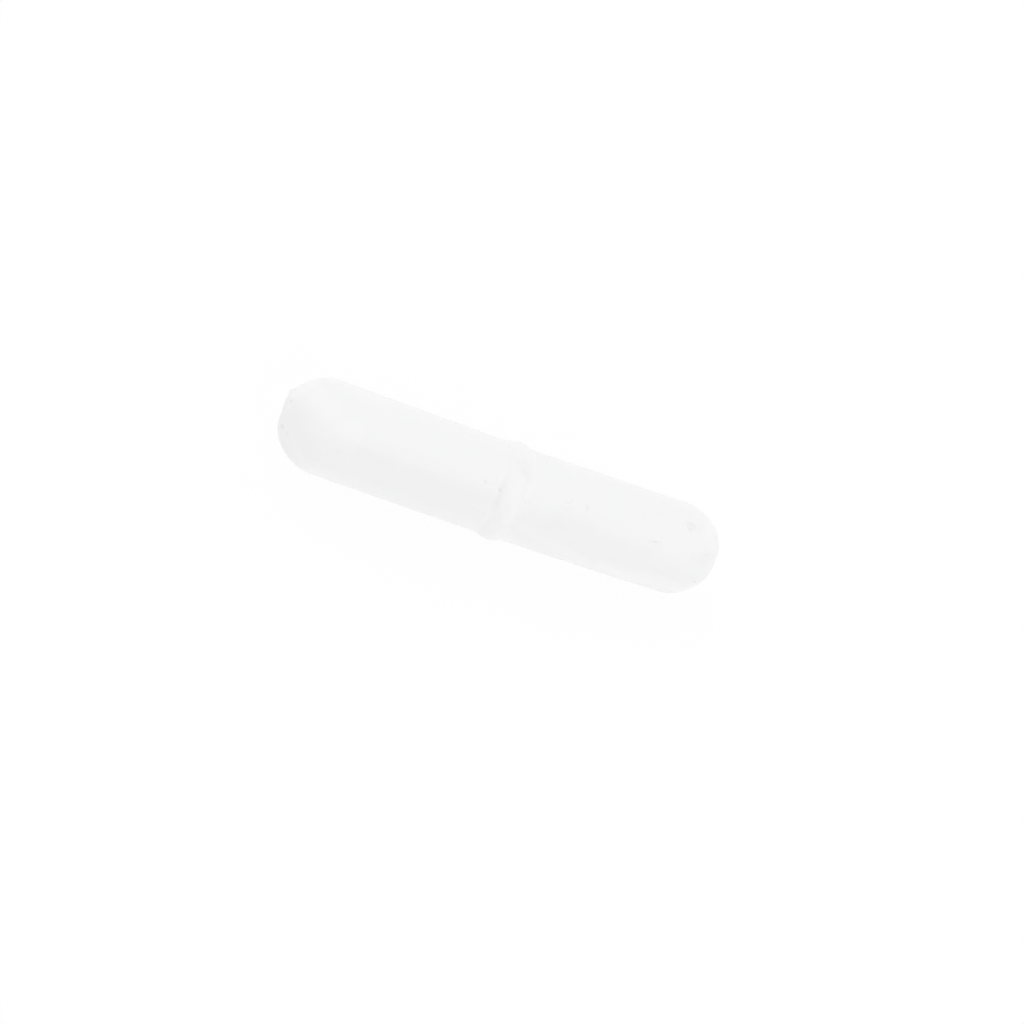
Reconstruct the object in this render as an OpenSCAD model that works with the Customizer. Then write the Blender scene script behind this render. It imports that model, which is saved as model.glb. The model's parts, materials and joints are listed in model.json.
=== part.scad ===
// Magnetic stir bar with an integral pivot ring.
// A magnet rod is sealed inside a smooth moulded PTFE jacket. The jacket carries a low
// rounded ring round its middle, on which the bar turns at the bottom of a vessel.
// The bar's axis lies along X, and the origin is at the centre of the pivot ring.

/* [Bar] */
// Length from tip to tip
bar_length = 38.1; // [25:0.1:80]
// Diameter of the plain body
body_d = 7.9; // [6:0.1:12]
// Diameter of the small moulding flat on each domed tip
tip_flat_d = 2.2; // [0.6:0.1:3]

/* [Pivot ring] */
// Height of the ring's crest above the body
ring_rise = 0.3; // [0.2:0.05:1]
// Radius of the rounded crest
ring_crest_r = 2; // [1:0.1:4]
// Radius of the hollow that blends each side of the ring into the body
ring_foot_r = 0.75; // [0.4:0.05:2]

/* [Jacket walls] */
// Thickness of the jacket beside the magnet
side_wall = 1.5; // [1:0.1:2.2]
// Thickness of the jacket from the magnet's end to the tip
end_wall = 3.5; // [3:0.1:6]

/* [Magnet] */
// Chamfer on both ends of the magnet
magnet_chamfer = 0.3; // [0.1:0.05:0.7]
// Gap all round between the magnet and the jacket
magnet_gap = 0.03; // [0.01:0.01:0.1]

/* [Hidden] */
$fn = 72;
body_r = body_d / 2;

// A dome is a half ball of the body's radius, cut off where its tip flat begins
dome_reach = sqrt(pow(body_r, 2) - pow(tip_flat_d / 2, 2));
dome_z = bar_length / 2 - dome_reach;

// The crest and the two foot hollows are arcs that run smoothly into each other
ring_r = body_r + ring_rise;
crest_centre_r = ring_r - ring_crest_r;
foot_centre_r = body_r + ring_foot_r;
centre_span = ring_crest_r + ring_foot_r;
ring_half_w = sqrt(pow(centre_span, 2) - pow(foot_centre_r - crest_centre_r, 2));
meet_share = ring_crest_r / centre_span;
meet_z = ring_half_w * meet_share;
meet_r = crest_centre_r + (foot_centre_r - crest_centre_r) * meet_share;

// The cavity takes the magnet with the gap round it, and touches it at both ends
cavity_r = body_r - side_wall;
magnet_r = cavity_r - magnet_gap;
magnet_length = bar_length - 2 * end_wall;

ptfe_white = [0.96, 0.96, 0.95];
cast_grey = [0.45, 0.45, 0.46];

// A profile is drawn with the radius along X and the bar's axis along Y
module turn_about_bar_axis() {
    rotate([0, 90, 0])
        rotate_extrude()
            children();
}

module body_profile() {
    translate([0, -dome_z])
        square([body_r, 2 * dome_z]);
    for (side = [-1, 1])
        translate([0, side * dome_z])
            circle(r = body_r);
}

module ring_crest_profile() {
    intersection() {
        translate([crest_centre_r, 0])
            circle(r = ring_crest_r);
        translate([0, -meet_z])
            square([ring_r, 2 * meet_z]);
    }
}

module ring_foot_profile() {
    difference() {
        translate([0, -ring_half_w])
            square([meet_r, 2 * ring_half_w]);
        for (side = [-1, 1])
            translate([foot_centre_r, side * ring_half_w])
                circle(r = ring_foot_r);
    }
}

module bar_profile() {
    intersection() {
        union() {
            body_profile();
            ring_crest_profile();
            ring_foot_profile();
        }
        translate([0, -bar_length / 2])
            square([ring_r, bar_length]);
    }
}

module chamfered_rod(radius) {
    half = magnet_length / 2;
    turn_about_bar_axis()
        polygon([
            [0, -half],
            [radius - magnet_chamfer, -half],
            [radius, -half + magnet_chamfer],
            [radius, half - magnet_chamfer],
            [radius - magnet_chamfer, half],
            [0, half]
        ]);
}

module jacket() {
    color(ptfe_white)
        difference() {
            turn_about_bar_axis()
                bar_profile();
            chamfered_rod(cavity_r);
        }
}

module magnet() {
    color(cast_grey)
        chamfered_rod(magnet_r);
}

jacket();
magnet();
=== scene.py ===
import json
import math

import bpy
import numpy as np
from mathutils import Matrix, Vector, noise


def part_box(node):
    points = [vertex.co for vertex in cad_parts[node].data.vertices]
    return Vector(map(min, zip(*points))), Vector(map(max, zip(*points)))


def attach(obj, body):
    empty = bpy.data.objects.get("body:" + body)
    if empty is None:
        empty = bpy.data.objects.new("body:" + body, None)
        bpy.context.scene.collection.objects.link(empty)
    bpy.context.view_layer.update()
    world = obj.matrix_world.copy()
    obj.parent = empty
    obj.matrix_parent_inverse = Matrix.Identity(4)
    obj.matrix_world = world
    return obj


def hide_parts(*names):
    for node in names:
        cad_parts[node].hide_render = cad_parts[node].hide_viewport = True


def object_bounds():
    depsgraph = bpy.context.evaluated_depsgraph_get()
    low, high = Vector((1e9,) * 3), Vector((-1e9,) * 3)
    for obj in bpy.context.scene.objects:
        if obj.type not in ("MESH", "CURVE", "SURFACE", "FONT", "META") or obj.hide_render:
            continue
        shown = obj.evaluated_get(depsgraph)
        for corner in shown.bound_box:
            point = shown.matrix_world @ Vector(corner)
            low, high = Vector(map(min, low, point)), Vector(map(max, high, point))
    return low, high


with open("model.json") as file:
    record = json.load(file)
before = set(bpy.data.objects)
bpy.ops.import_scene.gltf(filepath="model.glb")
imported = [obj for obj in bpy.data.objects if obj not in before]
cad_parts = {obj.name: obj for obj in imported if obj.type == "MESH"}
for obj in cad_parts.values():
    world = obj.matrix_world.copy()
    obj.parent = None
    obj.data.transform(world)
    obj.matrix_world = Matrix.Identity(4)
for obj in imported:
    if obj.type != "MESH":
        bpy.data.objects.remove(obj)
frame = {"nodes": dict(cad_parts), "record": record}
CAD_LOW, CAD_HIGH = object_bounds()

# A magnetic stir bar: a moulded white jacket with a pivot ring round its middle, and the
# magnet rod sealed inside it. The bar's axis lies along X and the floor is under the ring.
# Lengths are in metres. Angles are in degrees, and angles round the bar start at its top
# and turn towards its front, which faces -Y.

MM = 0.001

# ---------------------------------------------------------------- sizes of the bar

MAGNET_LOW, MAGNET_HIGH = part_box("magnet")
MOUNTS = {mount["name"]: mount for mount in frame["record"]["mounts"]}

BAR_HALF = CAD_HIGH.x
RING_R = CAD_HIGH.z
BODY_R = MOUNTS["shank_plus_x"]["dims"]["r_mm"] * MM
RING_CREST_R = 2.0 * MM
RING_FOOT_R = 0.75 * MM
TIP_FLAT_R = 1.1 * MM
MAGNET_GAP = 0.03 * MM
MAGNET_CHAMFER = 0.3 * MM

# Shorter than any length that matters, and never 0, so that it can be divided by
TINY = 0.001 * MM

DOME_REACH = math.sqrt(BODY_R**2 - TIP_FLAT_R**2)
DOME_X = BAR_HALF - DOME_REACH
CREST_CENTRE_R = RING_R - RING_CREST_R
FOOT_CENTRE_R = BODY_R + RING_FOOT_R
CENTRE_SPAN = RING_CREST_R + RING_FOOT_R
RING_HALF_W = math.sqrt(CENTRE_SPAN**2 - (FOOT_CENTRE_R - CREST_CENTRE_R) ** 2)
RING_MEET_ANGLE = math.degrees(math.atan2(FOOT_CENTRE_R - CREST_CENTRE_R, RING_HALF_W))

# ---------------------------------------------------------------- fineness of the mesh

# Each pair is where a stretch starts and the step within it. The marked side is finest.
SIDE_STOPS = [(-162, 2.25), (-62, 1.0), (78, 2.25), (198, None)]
NEAR_WALL_STOPS = [(RING_HALF_W, 0.135 * MM), (11.6 * MM, 0.066 * MM), (DOME_X, None)]
FAR_WALL_STOPS = [(RING_HALF_W, 0.135 * MM), (DOME_X, None)]
CREST_STEPS = 18
FOOT_STEPS = 10
NEAR_DOME_STEPS = 52
FAR_DOME_STEPS = 44
FLAT_STEPS = 9
CAVITY_SIDES = 96

# ---------------------------------------------------------------- camera

LENS_MM = 50
SENSOR_MM = 36
CAMERA_AZIMUTH = -37.5
CAMERA_ELEVATION = 70.0
CAMERA_ROLL = 54.72
CAMERA_DISTANCE = 116.9 * MM
CAMERA_SLIDE = (0.728 * MM, -1.783 * MM)
CLIP_START = 0.01
CLIP_END = 10

# ---------------------------------------------------------------- how this bar departs from a true one

# The bar is bowed a little: its tips lie this far from its true axis, towards this angle, and
# the bow grows by this power of the distance from the middle
BOW = 0.2 * MM
BOW_ANGLE = -74
BOW_POWER = 1.5

# The moulded wall isn't quite even
WAVE_DEPTH = 0.03 * MM
WAVE_SIZE = 2.6 * MM

# Raised and sunken places on the rounded ends: the end, the degrees off the bar's axis, the
# angle round it, the height in mm (sunken below 0) and the half-width in mm
END_SWELLS = [
    (-1, 28, -97, 0.25, 0.30),
    (-1, 41, -88, 0.06, 0.30),
    (-1, 51, -84, -0.10, 0.40),
    (1, 34, -56, 0.06, 0.90),
    (1, 20, -28, 0.07, 0.30),
    (1, 22, 74, 0.14, 0.35),
    (1, 49, 96, -0.06, 0.90),
    (1, 68, -68, -0.08, 0.60),
]

# The small plane pared off a rounded end: the end, the degrees off the bar's axis, the angle
# round it, how deep it lies under the round, and how soft its edge is
FLAT_END = 1
FLAT_OFF_AXIS = 15
FLAT_ANGLE = 33
FLAT_DEPTH = 0.15 * MM
FLAT_SOFTNESS = 0.02 * MM

# The chip in the wall: its corners, each as (mm along the bar, angle round it)
CHIP_CORNERS = [(14.48, -19.2), (15.25, -23.2), (15.74, -18.5), (15.26, -6.0), (14.92, -8.4)]
CHIP_DEPTH = 0.08 * MM
CHIP_SLOPE = 0.20 * MM
CHIP_STAIN = 0.38

# The cut in the round of the +X end: its upper edge is a step, and below it the cut runs out
CUT_EDGE = [(15.47, 17.1), (16.05, 12.0), (16.94, 10.6), (18.31, 1.0)]
CUT_DEPTH = 0.04 * MM
CUT_STEP = 0.22 * MM
CUT_RUN_OUT = 0.9 * MM
CUT_END_FADE = 0.3 * MM
# Painted shade under the step of the cut: how dark, where below the step it starts and finishes
# fading, and how far it fades in at the ends of the step
CUT_SHADE = 0.12
CUT_SHADE_FROM = 0.45 * MM
CUT_SHADE_TO = 1.8 * MM
CUT_SHADE_FADE = 0.4 * MM

# Nicks, scratches and specks: the depth and half-width in mm, how dark the stain in it is
# from 0 to 1, and its line, each point as (mm along the bar, angle round it)
MARKS = [
    (0.05, 0.10, 0.40, [(-2.43, 14.1), (-2.34, 15.7)]),
    (0.02, 0.12, 0.12, [(-1.80, 13.4), (-1.62, 14.2)]),
    (0.05, 0.13, 0.55, [(-1.12, 18.0), (-1.02, 19.4)]),
    (0.02, 0.09, 0.15, [(1.17, 20.5), (1.20, 23.2)]),
    (0.02, 0.09, 0.20, [(1.55, 20.9), (1.60, 21.4)]),
    (0.03, 0.10, 0.22, [(4.25, 7.8), (4.62, 6.2)]),
    (0.03, 0.08, 0.35, [(4.77, 2.6), (4.80, 2.0)]),
    (0.04, 0.10, 0.42, [(6.22, 4.4), (6.24, 6.6)]),
    (0.04, 0.09, 0.50, [(12.28, 18.1), (12.60, 17.7)]),
    (0.02, 0.08, 0.25, [(12.60, 17.6), (12.96, 16.7)]),
    (0.02, 0.12, 0.15, [(12.00, 19.6), (12.17, 18.9)]),
    (0.02, 0.12, 0.18, [(0.01, 53.3), (0.21, 54.2)]),
    (0.02, 0.10, 0.10, [(-1.62, 52.6), (-1.58, 53.4)]),
    (0.04, 0.12, 1.00, [(17.25, 56.5), (17.32, 56.9)]),
    (0.03, 0.12, 1.00, [(-18.70, -13.9), (-18.68, -12.3)]),
    (0.03, 0.13, 0.75, [(-18.77, 54.9), (-18.60, 51.4)]),
    (0.02, 0.13, 0.35, [(-18.22, 51.6), (-18.16, 54.6)]),
    (0.00, 0.18, 0.28, [(17.00, 13.8), (17.37, 12.2)]),
]

# The burr round each: its height as a share of the depth, where its crest lies, in half-widths
# from the middle of the mark, and how wide it spreads
BURR_SHARE = 0.25
BURR_CREST = 2.0
BURR_SPREAD = 0.4

# Faint smears, and painted shade: the rows marked below are painted shade, the rest are smears. Each
# has the half-width in mm, how dark, and the line
SMEARS_AND_PAINTED_SHADE = [
    (0.60, 0.20, [(0.27, -20.0), (0.70, -9.0)]),
    (0.33, 0.40, [(0.22, -14.0), (0.66, -9.5)]),
    (0.40, 0.12, [(15.78, -20.0), (15.85, -13.0)]),
    (0.22, 0.09, [(-14.24, 38.6), (-14.0, 37.9)]),
    (0.40, 0.08, [(4.5, 11.0), (4.9, 14.0)]),
    # Painted shade in the crease at the ring's left foot
    (0.26, 0.20, [(-0.94, 13.0), (-1.00, 38.0)]),
    (0.24, 0.25, [(-0.98, 25.0), (-1.00, 34.0)]),
    # Painted shade: a darker band along the front side, under the lit top
    (0.70, 0.12, [(4.20, 31.0), (6.90, 30.0)]),
    (0.60, 0.11, [(-12.3, 32.5), (-1.60, 32.0)]),
    (0.45, 0.07, [(7.60, 32.0), (12.4, 32.0)]),
    # Painted shade on the -X tip, on its side away from the light
    (0.40, 0.14, [(-18.93, -20.0), (-19.0, 25.0)]),
]

# Painted highlights: places painted lighter where more light falls or less shade lies, on the ring's
# flanks, in the crease at its left foot, on both ends, along the lit top and along the lower edge.
# Each has the half-width in mm, how light, and the line
PAINTED_HIGHLIGHT_STROKES = [
    (0.55, 0.50, [(0.02, 12.0), (0.10, 26.0)]),
    (0.55, 0.55, [(0.45, 34.0), (0.35, 50.0)]),
    (0.45, 0.25, [(0.20, 55.0), (0.70, 75.0)]),
    # Painted light in the crease at the ring's left foot and on its lower left flank, where shade
    # falls
    (0.35, 0.35, [(-0.95, -8.0), (-0.95, 50.0)]),
    (0.60, 0.80, [(-0.65, 60.0), (-0.75, 105.0)]),
    (1.15, 0.72, [(-17.95, -36.0), (-17.20, -19.0)]),
    (0.90, 0.36, [(-17.20, -19.0), (-15.80, -5.0)]),
    (0.70, 0.45, [(-14.20, 12.0), (-13.20, 11.0)]),
    (0.80, 0.50, [(-18.10, 46.0), (-17.20, 66.0)]),
    (0.90, 0.65, [(17.30, -36.0), (17.45, -14.0)]),
    (0.60, 0.42, [(1.90, 55.0), (3.80, 58.5)]),
    (0.60, 0.42, [(3.80, 58.5), (7.60, 74.5)]),
    (0.75, 0.60, [(9.80, 74.0), (15.60, 68.0)]),
]

# The pivot ring is rubbed flatter where it has run on glass: the angles round the bar
# between which that happened, the degrees over which it fades in and out, and its depth
RUB_FROM = 12
RUB_TO = 48
RUB_FADE = 12
RUB_DEPTH = 0.05 * MM


def around(angle):
    """The unit vector straight out of the bar at an angle round it."""
    turn = math.radians(angle)
    return Vector((0.0, -math.sin(turn), math.cos(turn)))


def on_jacket(x_mm, angle):
    """The point on the jacket's skin at a place along the bar and an angle round it."""
    x = x_mm * MM
    past_wall = max(abs(x) - DOME_X, 0.0)
    return Vector((x, 0.0, 0.0)) + around(angle) * math.sqrt(BODY_R**2 - past_wall**2)


# ---------------------------------------------------------------- the jacket's form


def arc(centre_x, centre_r, radius, start, stop, steps):
    """Points (x, r) on an arc of the jacket's outline, from one angle to another."""
    angles = np.radians(np.linspace(start, stop, steps + 1))
    return np.stack(
        [centre_x + radius * np.cos(angles), centre_r + radius * np.sin(angles)], axis=1
    )


def spaced(stops):
    """Places from the first stop to the last, each stretch with about its own step."""
    places = []
    for (start, step), (stop, _) in zip(stops, stops[1:]):
        places.append(np.linspace(start, stop, round((stop - start) / step), endpoint=False))
    return np.append(np.concatenate(places), stops[-1][0])


def half_outline(wall_stops, dome_steps):
    """The outline from the middle of the ring to the middle of the tip at +X."""
    wall_x = spaced(wall_stops)
    tip_angle = math.degrees(math.asin(TIP_FLAT_R / BODY_R))
    crest = arc(0.0, CREST_CENTRE_R, RING_CREST_R, 90, RING_MEET_ANGLE, CREST_STEPS)
    foot = arc(RING_HALF_W, FOOT_CENTRE_R, RING_FOOT_R, 180 + RING_MEET_ANGLE, 270, FOOT_STEPS)
    wall = np.stack([wall_x, np.full(len(wall_x), BODY_R)], axis=1)
    dome = arc(DOME_X, 0.0, BODY_R, 90, tip_angle, dome_steps)
    flat_r = np.linspace(TIP_FLAT_R, 0.0, FLAT_STEPS, endpoint=False)
    flat = np.stack([np.full(len(flat_r), BAR_HALF), flat_r], axis=1)
    return np.vstack([crest, foot[1:], wall[1:], dome[1:], flat[1:]])


def jacket_outline():
    """The whole outline, from the tip at -X to the tip at +X."""
    near = half_outline(NEAR_WALL_STOPS, NEAR_DOME_STEPS)
    far = half_outline(FAR_WALL_STOPS, FAR_DOME_STEPS)
    return np.vstack([far[:0:-1] * (-1, 1), near])


def ring_grid(outline, angles):
    """The outline turned round the X axis, as rows of points at the given angles."""
    turns = np.radians(angles)
    x = np.repeat(outline[:, 0], len(turns))
    y = np.outer(outline[:, 1], -np.sin(turns)).ravel()
    z = np.outer(outline[:, 1], np.cos(turns)).ravel()
    return np.stack([x, y, z], axis=1)


def closed_shell(outline, angles, low_x, high_x):
    """Points and faces of a turned shell with a pole at each end. Its faces look outwards."""
    rows, sides = len(outline), len(angles)
    points = np.vstack([ring_grid(outline, angles), [(low_x, 0, 0), (high_x, 0, 0)]])
    low_pole = rows * sides
    high_pole = low_pole + 1
    faces = []
    for row in range(rows - 1):
        for side in range(sides):
            a = row * sides + side
            b = row * sides + (side + 1) % sides
            faces.append((a, b, b + sides, a + sides))
    last = (rows - 1) * sides
    for side in range(sides):
        following = (side + 1) % sides
        faces.append((low_pole, following, side))
        faces.append((high_pole, last + side, last + following))
    return points, faces


def new_piece(name, parts):
    """One smooth mesh object from several (points, faces) shells."""
    points, faces = [], []
    for shell_points, shell_faces in parts:
        start = sum(len(p) for p in points)
        points.append(shell_points)
        faces += [tuple(start + i for i in face) for face in shell_faces]
    mesh = bpy.data.meshes.new(name)
    mesh.from_pydata(np.vstack(points).tolist(), [], faces)
    mesh.polygons.foreach_set("use_smooth", [True] * len(mesh.polygons))
    mesh.update()
    piece = bpy.data.objects.new(name, mesh)
    bpy.context.scene.collection.objects.link(piece)
    return piece


def end_direction(end, off_axis, angle):
    """The unit vector out of a rounded end, from the middle of its round."""
    lean = math.radians(off_axis)
    return Vector((end * math.cos(lean), 0.0, 0.0)) + around(angle) * math.sin(lean)


def smooth_step(value):
    """Rises smoothly from 0 to 1 as the value does."""
    share = np.clip(value, 0.0, 1.0)
    return share * share * (3 - 2 * share)


def outward(points):
    """The direction straight out of the jacket's core at each point."""
    core = np.clip(points[:, 0], -DOME_X, DOME_X)
    away = points - np.stack([core, np.zeros(len(core)), np.zeros(len(core))], axis=1)
    return away / np.maximum(np.linalg.norm(away, axis=1), TINY)[:, None]


def swell_ends(points):
    """Raises and sinks soft round places on the two ends."""
    rise = np.zeros(len(points))
    for end, off_axis, angle, height, half_width in END_SWELLS:
        direction = end_direction(end, off_axis, angle)
        middle = np.array((end * DOME_X, 0, 0)) + np.array(direction) * BODY_R
        gap = np.linalg.norm(points - middle, axis=1) / (half_width * MM)
        rise += height * MM * np.exp(-gap * gap)
    swollen = points + outward(points) * rise[:, None]
    swollen[:, 0] = np.clip(swollen[:, 0], -BAR_HALF, BAR_HALF)
    return swollen


def pare_end(points):
    """Cuts the small plane off a rounded end, with a soft edge."""
    direction = np.array(end_direction(FLAT_END, FLAT_OFF_AXIS, FLAT_ANGLE))
    over = (points - (FLAT_END * DOME_X, 0, 0)) @ direction - (BODY_R - FLAT_DEPTH)
    cut = FLAT_SOFTNESS * np.logaddexp(0, over / FLAT_SOFTNESS)
    return points - cut[:, None] * direction


def unrolled(points):
    """The wall laid flat: the place along the bar and the distance round it from the top."""
    return np.stack([points[:, 0], np.arctan2(-points[:, 1], points[:, 2]) * BODY_R], axis=1)


def unrolled_marks(marks):
    """The same for places written as (mm along the bar, angle round it)."""
    return np.array([(x * MM, math.radians(angle) * BODY_R) for x, angle in marks])


def chip_wall(points):
    """Sinks the chip with its sloping sides into the wall."""
    flat = unrolled(points)
    corners = unrolled_marks(CHIP_CORNERS)
    inside = np.full(len(points), np.inf)
    for start, stop in zip(corners, np.roll(corners, -1, axis=0)):
        side = (stop - start) / np.linalg.norm(stop - start)
        offset = flat - start
        inside = np.minimum(inside, side[0] * offset[:, 1] - side[1] * offset[:, 0])
    sunk = CHIP_DEPTH * smooth_step(inside / CHIP_SLOPE)
    return points - outward(points) * sunk[:, None]


def cut_end(points):
    """Takes a shallow slice off the round of the +X end, with a step at its upper edge."""
    flat = unrolled(points)
    edge = unrolled_marks(CUT_EDGE)
    below = flat[:, 1] - np.interp(flat[:, 0], edge[:, 0], edge[:, 1])
    within = smooth_step((flat[:, 0] - edge[0, 0]) / CUT_END_FADE)
    within = within * smooth_step((edge[-1, 0] - flat[:, 0]) / CUT_END_FADE)
    sunk = CUT_DEPTH * smooth_step(below / CUT_STEP) * np.exp(-np.maximum(below, 0) / CUT_RUN_OUT)
    return points - outward(points) * (sunk * within)[:, None]


def press_marks(points):
    """Presses the nicks and scratches into the jacket, with a slight burr round each."""
    sunk = np.zeros(len(points))
    raised = np.zeros(len(points))
    for depth, half_width, _, line in MARKS:
        start, stop = (np.array(on_jacket(x, angle)) for x, angle in line)
        along = stop - start
        share = np.clip((points - start) @ along / (along @ along), 0, 1)
        gap = np.linalg.norm(points - start - share[:, None] * along, axis=1)
        reach = gap / (half_width * MM)
        sunk = np.maximum(sunk, depth * MM * np.exp(-(reach**2)))
        burr = np.exp(-((reach - BURR_CREST) ** 2) / BURR_SPREAD)
        raised = np.maximum(raised, depth * MM * BURR_SHARE * burr)
    return points + outward(points) * (raised - sunk)[:, None]


def rub_ring(points):
    """Flattens the crest of the pivot ring along the worn stretch."""
    angle = np.degrees(np.arctan2(-points[:, 1], points[:, 2]))
    worn = smooth_step((angle - RUB_FROM) / RUB_FADE) * smooth_step((RUB_TO - angle) / RUB_FADE)
    proud = np.linalg.norm(points[:, 1:], axis=1) - (RING_R - RUB_DEPTH)
    on_ring = np.abs(points[:, 0]) < RING_HALF_W
    sunk = np.where(on_ring, np.maximum(proud, 0), 0) * worn
    return points - outward(points) * sunk[:, None]


def wave_wall(points):
    """Lets the wall sink and rise a little under its true size, as moulded walls do."""
    wave = np.array([noise.noise(Vector(p) / WAVE_SIZE) for p in points])
    sunk = WAVE_DEPTH * np.clip(0.5 + wave, 0, 1)
    return points - outward(points) * sunk[:, None]


def bow_bar(points):
    """Bends the whole jacket a little, most at its tips."""
    share = (np.abs(points[:, 0]) / BAR_HALF) ** BOW_POWER
    return points + share[:, None] * np.array(around(BOW_ANGLE)) * BOW


def jacket_skin():
    """The outside of the jacket, with its wear."""
    points, faces = closed_shell(jacket_outline(), spaced(SIDE_STOPS)[:-1], -BAR_HALF, BAR_HALF)
    points = pare_end(swell_ends(points))
    points = cut_end(chip_wall(points))
    points = rub_ring(press_marks(points))
    return bow_bar(wave_wall(points)), faces


def magnet_cavity():
    """The closed hollow that the magnet fills. Its faces look into it."""
    cavity_r = MAGNET_HIGH.z + MAGNET_GAP
    end_r = cavity_r - MAGNET_CHAMFER
    side_x = MAGNET_HIGH.x - MAGNET_CHAMFER
    outline = np.array(
        [(MAGNET_LOW.x, end_r), (-side_x, cavity_r), (side_x, cavity_r), (MAGNET_HIGH.x, end_r)]
    )
    angles = np.linspace(0, 360, CAVITY_SIDES, endpoint=False)
    points, faces = closed_shell(outline, angles, MAGNET_LOW.x, MAGNET_HIGH.x)
    return points, [face[::-1] for face in faces]


# ---------------------------------------------------------------- shader nodes

# A stroke is full up to the first share of its half-width, and gone at the second
STROKE_CORE = 0.4
STROKE_EDGE = 1.6

# A hairline is full up to this share of its width. Hairlines come in patches of a noise, in
# cells per metre, that start and are full at these levels of it
HAIRLINE_CORE = 0.3
HAIRLINE_PATCH_SCALE = 450.0
HAIRLINE_PATCH_EDGE = (0.46, 0.58)


class Wire:
    """An output of a shader node, with the arithmetic that a finish is written in."""

    def __init__(self, nodes, socket):
        self.nodes = nodes
        self.socket = socket

    def __add__(self, other):
        return self.nodes.maths("ADD", self, other)

    __radd__ = __add__

    def __sub__(self, other):
        return self.nodes.maths("SUBTRACT", self, other)

    def __rsub__(self, other):
        return self.nodes.maths("SUBTRACT", other, self)

    def __mul__(self, other):
        return self.nodes.maths("MULTIPLY", self, other)

    __rmul__ = __mul__

    def __truediv__(self, other):
        return self.nodes.maths("DIVIDE", self, other)

    def __abs__(self):
        return self.nodes.maths("ABSOLUTE", self)


class Nodes:
    """A node tree that is being written, and the ways to add to it."""

    def __init__(self, tree):
        self.tree = tree
        tree.nodes.clear()

    def node(self, kind, settings=(), inputs=(), output=0):
        """Adds one node: its type, its settings, then the values or links of its sockets."""
        made = self.tree.nodes.new("ShaderNode" + kind)
        for name, value in dict(settings).items():
            setattr(made, name, value)
        for name, value in dict(inputs).items():
            if isinstance(value, Wire):
                self.tree.links.new(value.socket, made.inputs[name])
            else:
                made.inputs[name].default_value = value
        return Wire(self, made.outputs[output]) if made.outputs else made

    def maths(self, operation, *values):
        """A Math node."""
        return self.node("Math", {"operation": operation}, dict(enumerate(values)))

    def vectors(self, operation, *values, output=0):
        """A Vector Math node. Output 0 is a vector and output 1 a number."""
        return self.node("VectorMath", {"operation": operation}, dict(enumerate(values)), output)

    def blend(self, share, first, second):
        """Two colours mixed, on the colour sockets of a Mix node. A share of 0 gives the first."""
        settings = {"data_type": "RGBA", "clamp_factor": True}
        return self.node("Mix", settings, {0: share, 6: first, 7: second}, output=2)

    def fade(self, value, start, stop):
        """1 where value is below start, falling smoothly to 0 at stop."""
        settings = {"interpolation_type": "SMOOTHSTEP"}
        return self.node("MapRange", settings, {0: value, 1: start, 2: stop, 3: 1.0, 4: 0.0})

    def grain(self, where, scale, detail, stretch=(1.0, 1.0, 1.0)):
        """Noise from 0 to 1. Scale is in cells per metre, and stretch squeezes it by axis."""
        place = self.vectors("MULTIPLY", where, stretch)
        return self.node("TexNoise", {}, {"Vector": place, "Scale": scale, "Detail": detail})

    def hairlines(self, where, scale, stretch, width):
        """Fine scratches: the level lines of a stretched noise, broken into patches."""
        lines = abs(self.grain(where, scale, detail=1.0, stretch=stretch) - 0.5)
        patches = self.grain(where, HAIRLINE_PATCH_SCALE, detail=1.0)
        within = 1 - self.fade(patches, *HAIRLINE_PATCH_EDGE)
        return self.fade(lines, width * HAIRLINE_CORE, width) * within

    def wobble(self, where, scale, reach):
        """The place moved up to half of reach by noise, which makes an outline uneven."""
        inputs = {"Vector": where, "Scale": scale, "Detail": 2.0}
        drift = self.node("TexNoise", {}, inputs, output="Color")
        drift = self.vectors("SUBTRACT", drift, (0.5, 0.5, 0.5))
        return self.vectors("ADD", where, self.vectors("MULTIPLY", drift, (reach, reach, reach)))

    def stroke(self, where, line, half_width):
        """1 along a short line on the jacket, falling smoothly to 0 past its half-width."""
        start, stop = (on_jacket(x, angle) for x, angle in line)
        along = stop - start
        offset = self.vectors("SUBTRACT", where, start)
        share = self.vectors("DOT_PRODUCT", offset, along / along.length_squared, output=1)
        share = self.maths("MINIMUM", self.maths("MAXIMUM", share, 0.0), 1.0)
        foot = self.node("VectorMath", {"operation": "SCALE"}, {0: along, 3: share})
        gap = self.vectors("DISTANCE", offset, foot, output=1)
        return self.fade(gap, half_width * MM * STROKE_CORE, half_width * MM * STROKE_EDGE)


def grey(level):
    """A colour without a tint."""
    return (level, level, level, 1.0)


def true_place(nodes):
    """Where a point of the jacket's skin would be if the bar weren't bowed."""
    bent = nodes.node("TexCoord", output="Object")
    x = nodes.node("SeparateXYZ", {}, {0: bent}, output=0)
    share = nodes.maths("POWER", abs(x) / BAR_HALF, BOW_POWER) * BOW
    shift = nodes.node("VectorMath", {"operation": "SCALE"}, {0: around(BOW_ANGLE), 3: share})
    return nodes.vectors("SUBTRACT", bent, shift)


# ---------------------------------------------------------------- the jacket's finish

COOL_WHITE = (0.894, 0.895, 0.899, 1.0)
WARM_WHITE = (0.904, 0.903, 0.901, 1.0)
# The white of the ring's worn crest, also used for the painted highlights
WORN_AND_PAINTED_LIGHT_WHITE = (0.930, 0.930, 0.929, 1.0)
# The grey of grime, also used for painted shade
GRIME_AND_SHADE_GREY = (0.80, 0.80, 0.79, 1.0)
HAIRLINE_GREY = (0.85, 0.85, 0.85, 1.0)
JACKET_IOR = 1.36

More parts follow.
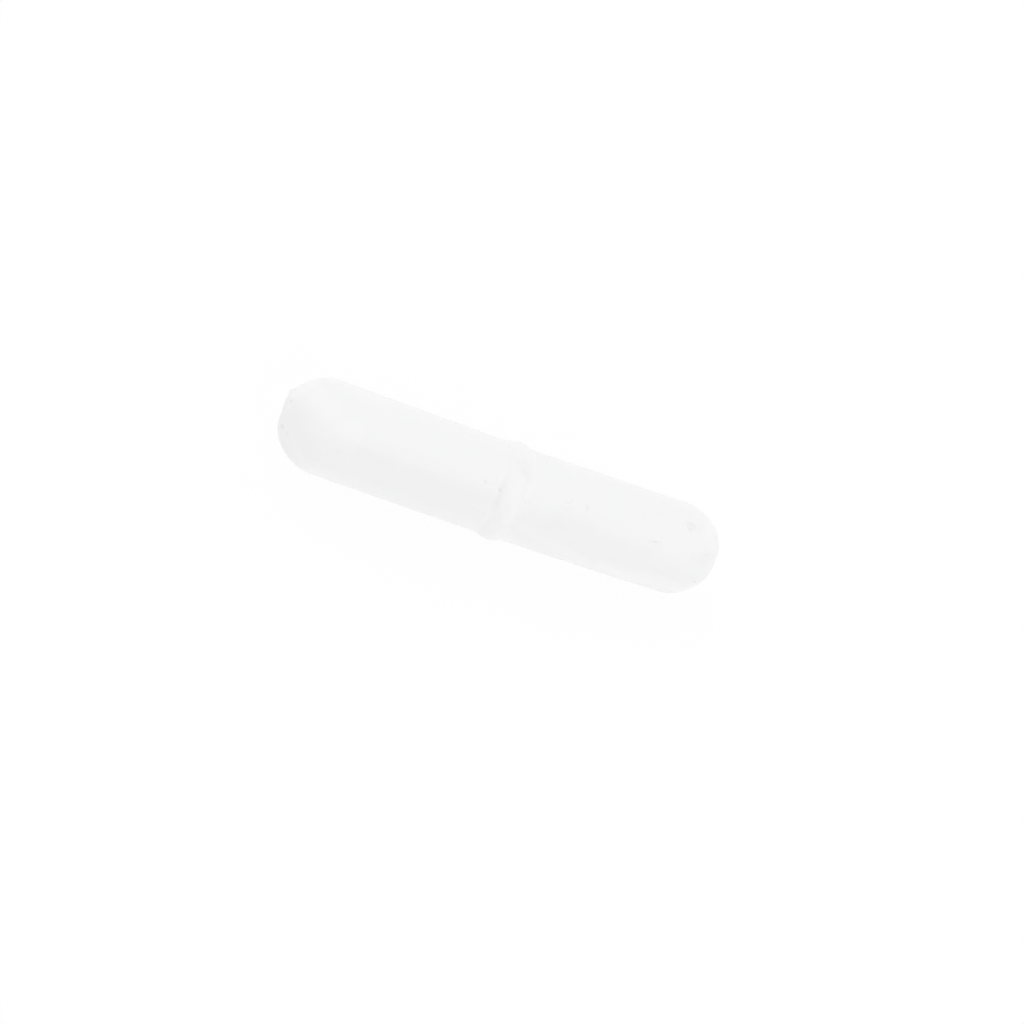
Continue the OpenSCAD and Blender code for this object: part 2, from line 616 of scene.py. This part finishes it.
# Sizes of its noises, in cells per metre
CLOUD_SCALE = 320.0
FLECK_SCALE = 2600.0
FINE_SCALE = 9000.0
UNEVEN_SCALE = 1100.0
WOBBLE_SCALE = 900.0

# Where the flecks hold grime, and how dark it is
FLECK_EDGE = (0.30, 0.42)
FLECK_GRIME = 0.05

# Hairlines along and round the bar: their scale, stretch and width
HAIRLINES_ALONG = (1500.0, (0.12, 1.0, 1.0), 0.05)
HAIRLINES_ROUND = (1300.0, (1.0, 0.25, 0.25), 0.05)
HAIRLINE_GRIME = 0.08

# How smears and rubbed places vary: the reach of their uneven outline, their level where the
# noise is 0, and what the noise adds to it where it is 1
WOBBLE_REACH = 0.5 * MM
UNEVEN_BASE = 0.4
UNEVEN_SHARE = 1.2

# The crest of the ring is rubbed cleaner all round: how clean, and where along the bar it fades
RING_RUB = 0.2
RING_RUB_FROM = 0.9 * MM
RING_RUB_TO = 1.6 * MM

# Its roughness, and what each thing adds to it or takes from it. Where it falls below about
# 0.27, the renderer's noise filter draws the jacket in dark flakes
SATIN = 0.265
CLOUD_ROUGH = 0.08
FLECK_ROUGH = 0.06
HAIRLINE_ROUGH = 0.10
STAIN_AND_SHADE_ROUGH = 0.15
WORN_AND_PAINTED_LIGHT_SMOOTH = 0.02

# Its relief: the height that counts as 1, and how far each thing reaches in it
JACKET_RELIEF = 0.001 * MM
FLECK_RELIEF = 0.5
FINE_RELIEF = 0.3
HAIRLINE_RELIEF = 0.4


def chip_mask(nodes, along, arc_length):
    """1 inside the chip."""
    corners = unrolled_marks(CHIP_CORNERS)
    inside = None
    for start, stop in zip(corners, np.roll(corners, -1, axis=0)):
        side = (stop - start) / np.linalg.norm(stop - start)
        reach = (arc_length - start[1]) * side[0] - (along - start[0]) * side[1]
        inside = reach if inside is None else nodes.maths("MINIMUM", inside, reach)
    return 1 - nodes.fade(inside, 0.0, CHIP_SLOPE)


def cut_shade_mask(nodes, along, arc_length):
    """1 just under the step of the cut in the +X end, where shade is painted, falling to 0 where the
    cut runs out.
    """
    edge = unrolled_marks(CUT_EDGE)
    slope, level = np.polyfit(edge[:, 0], edge[:, 1], 1)
    below = arc_length - (along * slope + level)
    step = 1 - nodes.fade(below, 0.0, CUT_STEP)
    run_out = nodes.fade(below, CUT_SHADE_FROM, CUT_SHADE_TO)
    within = 1 - nodes.fade(along, edge[0, 0], edge[0, 0] + CUT_SHADE_FADE)
    within_end = nodes.fade(along, edge[-1, 0], edge[-1, 0] + CUT_SHADE_FADE)
    return step * run_out * within * within_end


def white_jacket_finish():
    """Moulded white plastic, waxy and satin, with the stains and the rubbed ring of a used bar, and
    painted highlights and shade.
    """
    material = bpy.data.materials.new("white_moulded_ptfe")
    material.use_nodes = True
    nodes = Nodes(material.node_tree)
    where = true_place(nodes)
    along = nodes.node("SeparateXYZ", {}, {0: where}, output=0)
    front = nodes.node("SeparateXYZ", {}, {0: where}, output=1)
    up = nodes.node("SeparateXYZ", {}, {0: where}, output=2)
    turn = nodes.maths("ARCTAN2", 0 - front, up)
    arc_length = turn * BODY_R

    clouds = nodes.grain(where, CLOUD_SCALE, detail=3.0)
    flecks = nodes.grain(where, FLECK_SCALE, detail=4.0)
    colour = nodes.blend(clouds, COOL_WHITE, WARM_WHITE)
    colour = nodes.blend(nodes.fade(flecks, *FLECK_EDGE) * FLECK_GRIME, colour, GRIME_AND_SHADE_GREY)

    scratches = nodes.maths(
        "MAXIMUM",
        nodes.hairlines(where, *HAIRLINES_ALONG),
        nodes.hairlines(where, *HAIRLINES_ROUND),
    )
    colour = nodes.blend(scratches * HAIRLINE_GRIME, colour, HAIRLINE_GREY)

    loose = nodes.wobble(where, WOBBLE_SCALE, WOBBLE_REACH)
    uneven = nodes.grain(where, UNEVEN_SCALE, detail=2.0) * UNEVEN_SHARE + UNEVEN_BASE
    # Lighter where the ring's crest is worn all round, and painted highlights along the strokes that
    # follow
    worn_and_painted_light = nodes.fade(abs(along), RING_RUB_FROM, RING_RUB_TO) * RING_RUB
    for half_width, strength, line in PAINTED_HIGHLIGHT_STROKES:
        worn_and_painted_light = nodes.maths("MAXIMUM", worn_and_painted_light, nodes.stroke(loose, line, half_width) * strength)
    worn_and_painted_light = nodes.maths("MINIMUM", worn_and_painted_light * uneven, 1.0)
    colour = nodes.blend(worn_and_painted_light, colour, WORN_AND_PAINTED_LIGHT_WHITE)

    stain_and_shade = chip_mask(nodes, along, arc_length) * CHIP_STAIN
    stain_and_shade = nodes.maths("MAXIMUM", stain_and_shade, cut_shade_mask(nodes, along, arc_length) * CUT_SHADE)
    for _, half_width, strength, line in MARKS:
        stain_and_shade = nodes.maths("MAXIMUM", stain_and_shade, nodes.stroke(where, line, half_width) * strength)
    # Smears, and painted shade along some of the strokes
    for half_width, strength, line in SMEARS_AND_PAINTED_SHADE:
        smear_and_shade = nodes.stroke(loose, line, half_width) * strength * uneven
        stain_and_shade = nodes.maths("MAXIMUM", stain_and_shade, smear_and_shade)
    # Darker with grime and marks, and with painted shade under the cut's step and along some smears
    colour = nodes.blend(stain_and_shade, colour, GRIME_AND_SHADE_GREY)

    roughness = clouds * CLOUD_ROUGH + flecks * FLECK_ROUGH + SATIN
    roughness = roughness + scratches * HAIRLINE_ROUGH + stain_and_shade * STAIN_AND_SHADE_ROUGH
    roughness = roughness - worn_and_painted_light * WORN_AND_PAINTED_LIGHT_SMOOTH
    fine = nodes.grain(where, FINE_SCALE, detail=2.0)
    height = flecks * FLECK_RELIEF + fine * FINE_RELIEF - scratches * HAIRLINE_RELIEF
    relief = {"Strength": 1.0, "Distance": JACKET_RELIEF, "Height": height}
    bump = nodes.node("Bump", {}, relief)
    shader = nodes.node(
        "BsdfPrincipled",
        {},
        {"Base Color": colour, "Roughness": roughness, "Normal": bump, "IOR": JACKET_IOR},
    )
    nodes.node("OutputMaterial", {}, {"Surface": shader})
    return material


# ---------------------------------------------------------------- the magnet's finish

DARK_ALLOY = (0.34, 0.335, 0.325, 1.0)
PALE_ALLOY = (0.50, 0.495, 0.48, 1.0)
GROUND_GREY = 0.62
GROUND_SHARE = 0.35
PIT_GREY = 0.12
PIT_SHARE = 0.8
PIT_EDGE = (0.30, 0.40)
ALLOY_METALLIC = 0.9

# Sizes of its noises, in cells per metre. The grinding lines run round the rod
BLOOM_SCALE = 600.0
GRIND_SCALE = 900.0
GRIND_STRETCH = (9.0, 0.4, 0.4)
PIT_SCALE = 2800.0

# Its roughness, and what each thing adds to it
GROUND_BASE = 0.28
BLOOM_ROUGH = 0.15
GRIND_ROUGH = 0.15
PIT_ROUGH = 0.3

# Its relief: the height that counts as 1, and how far the grinding lines reach in it
MAGNET_RELIEF = 0.01 * MM
GRIND_RELIEF = 0.4


def magnet_finish():
    """Cast magnet alloy, ground round its side, with fine casting pits and a dull oxide bloom."""
    material = bpy.data.materials.new("cast_magnet_alloy")
    material.use_nodes = True
    nodes = Nodes(material.node_tree)
    where = nodes.node("TexCoord", output="Object")
    bloom = nodes.grain(where, BLOOM_SCALE, detail=4.0)
    ground = nodes.grain(where, GRIND_SCALE, detail=3.0, stretch=GRIND_STRETCH)
    pits = nodes.fade(nodes.grain(where, PIT_SCALE, detail=2.0), *PIT_EDGE)
    colour = nodes.blend(bloom, DARK_ALLOY, PALE_ALLOY)
    colour = nodes.blend(ground * GROUND_SHARE, colour, grey(GROUND_GREY))
    colour = nodes.blend(pits * PIT_SHARE, colour, grey(PIT_GREY))
    roughness = bloom * BLOOM_ROUGH + ground * GRIND_ROUGH + GROUND_BASE + pits * PIT_ROUGH
    height = ground * GRIND_RELIEF - pits
    relief = {"Strength": 1.0, "Distance": MAGNET_RELIEF, "Height": height}
    bump = nodes.node("Bump", {}, relief)
    inputs = {"Base Color": colour, "Roughness": roughness, "Normal": bump}
    inputs["Metallic"] = ALLOY_METALLIC
    shader = nodes.node("BsdfPrincipled", {}, inputs)
    nodes.node("OutputMaterial", {}, {"Surface": shader})
    return material


# ---------------------------------------------------------------- studio

FLOOR_HALF = 2.0
FLOOR_WHITE = 0.98

# How much of the floor's real light, and so of the shadow, shows in the white backdrop
SHADOW_SHARE = 0.06

# The light that the world sheds on the bar, where 1 is white
WORLD_LEVEL = 0.579
LAMP_DISTANCE = 0.45

# The soft boxes: name, azimuth, elevation, width and height in metres, and power in watts
SOFTBOXES = [
    ("high_softbox", -172.5, 62, 0.35, 0.35, 0.200),
    ("left_softbox", -127.5, 38, 0.35, 0.35, 0.503),
    ("back_softbox", 142.5, 38, 0.35, 0.35, 0.334),
    ("right_softbox", 52.5, 38, 0.35, 0.35, 0.410),
    ("low_right_softbox", 22.5, 15, 0.35, 0.23, 0.207),
    ("low_front_softbox", -37.5, 15, 0.35, 0.23, 0.205),
]


def backdrop_rays(nodes):
    """1 for rays that show the backdrop: those of the camera, and those that gloss or glass sends."""
    camera = nodes.node("LightPath", output="Is Camera Ray")
    glossy = nodes.node("LightPath", output="Is Glossy Ray")
    clear = nodes.node("LightPath", output="Is Transmission Ray")
    return nodes.maths("MAXIMUM", camera, nodes.maths("MAXIMUM", glossy, clear))


def studio_floor():
    """A floor that shows as white backdrop and keeps a faint shadow."""
    sides = (-FLOOR_HALF, FLOOR_HALF)
    corners = [(x, y, CAD_LOW.z) for x in sides for y in sides]
    mesh = bpy.data.meshes.new("studio_floor")
    mesh.from_pydata(corners, [], [(0, 2, 3, 1)])
    floor = bpy.data.objects.new("studio_floor", mesh)
    bpy.context.scene.collection.objects.link(floor)
    material = bpy.data.materials.new("white_studio_floor")
    material.use_nodes = True
    nodes = Nodes(material.node_tree)
    lit = nodes.node("BsdfDiffuse", {}, {"Color": grey(FLOOR_WHITE)})
    white = nodes.node("Emission", {}, {"Color": grey(1.0), "Strength": 1.0})
    share = backdrop_rays(nodes) * (1 - SHADOW_SHARE)
    both = nodes.node("MixShader", {}, {0: share, 1: lit, 2: white})
    nodes.node("OutputMaterial", {}, {"Surface": both})
    mesh.materials.append(material)


def studio_world():
    """A world that shows as white backdrop and lights the bar more weakly."""
    world = bpy.data.worlds.new("studio_world")
    bpy.context.scene.world = world
    world.use_nodes = True
    nodes = Nodes(world.node_tree)
    level = backdrop_rays(nodes) * (1 - WORLD_LEVEL) + WORLD_LEVEL
    light = nodes.node("Background", {}, {"Color": grey(1.0), "Strength": level})
    nodes.node("OutputWorld", {}, {"Surface": light})


def aimed(azimuth, elevation, roll=0.0):
    """The turn of a camera or lamp that stands at an azimuth and elevation and looks at the bar."""
    turn = Matrix.Rotation(math.radians(azimuth), 3, "Z")
    turn = turn @ Matrix.Rotation(math.radians(90 - elevation), 3, "X")
    return turn @ Matrix.Rotation(math.radians(roll), 3, "Z")


def place_softboxes():
    """Soft boxes all round. They light the bar, and its gloss shows the backdrop in their place."""
    for name, azimuth, elevation, width, height, power in SOFTBOXES:
        lamp = bpy.data.lights.new(name, "AREA")
        lamp.shape = "RECTANGLE"
        lamp.size = width
        lamp.size_y = height
        lamp.energy = power
        softbox = bpy.data.objects.new(name, lamp)
        bpy.context.scene.collection.objects.link(softbox)
        turn = aimed(azimuth, elevation)
        place = turn @ Vector((0, 0, LAMP_DISTANCE))
        softbox.visible_glossy = False
        softbox.matrix_world = Matrix.Translation(place) @ turn.to_4x4()


def place_camera():
    """The camera over the bar's front, looking down at it."""
    data = bpy.data.cameras.new("camera")
    data.lens = LENS_MM
    data.sensor_width = SENSOR_MM
    data.clip_start = CLIP_START
    data.clip_end = CLIP_END
    camera = bpy.data.objects.new("camera", data)
    bpy.context.scene.collection.objects.link(camera)
    turn = aimed(CAMERA_AZIMUTH, CAMERA_ELEVATION, CAMERA_ROLL)
    place = turn @ Vector((*CAMERA_SLIDE, CAMERA_DISTANCE))
    camera.matrix_world = Matrix.Translation(place) @ turn.to_4x4()
    bpy.context.scene.camera = camera


# ---------------------------------------------------------------- the pieces

jacket = new_piece("moulded_jacket", [jacket_skin(), magnet_cavity()])
jacket.data.materials.append(white_jacket_finish())
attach(jacket, "root")
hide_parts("jacket")

magnet = frame["nodes"]["magnet"]
magnet.material_slots[0].material = magnet_finish()

studio_floor()
studio_world()
place_softboxes()
place_camera()
bpy.context.scene.view_settings.view_transform = "Standard"
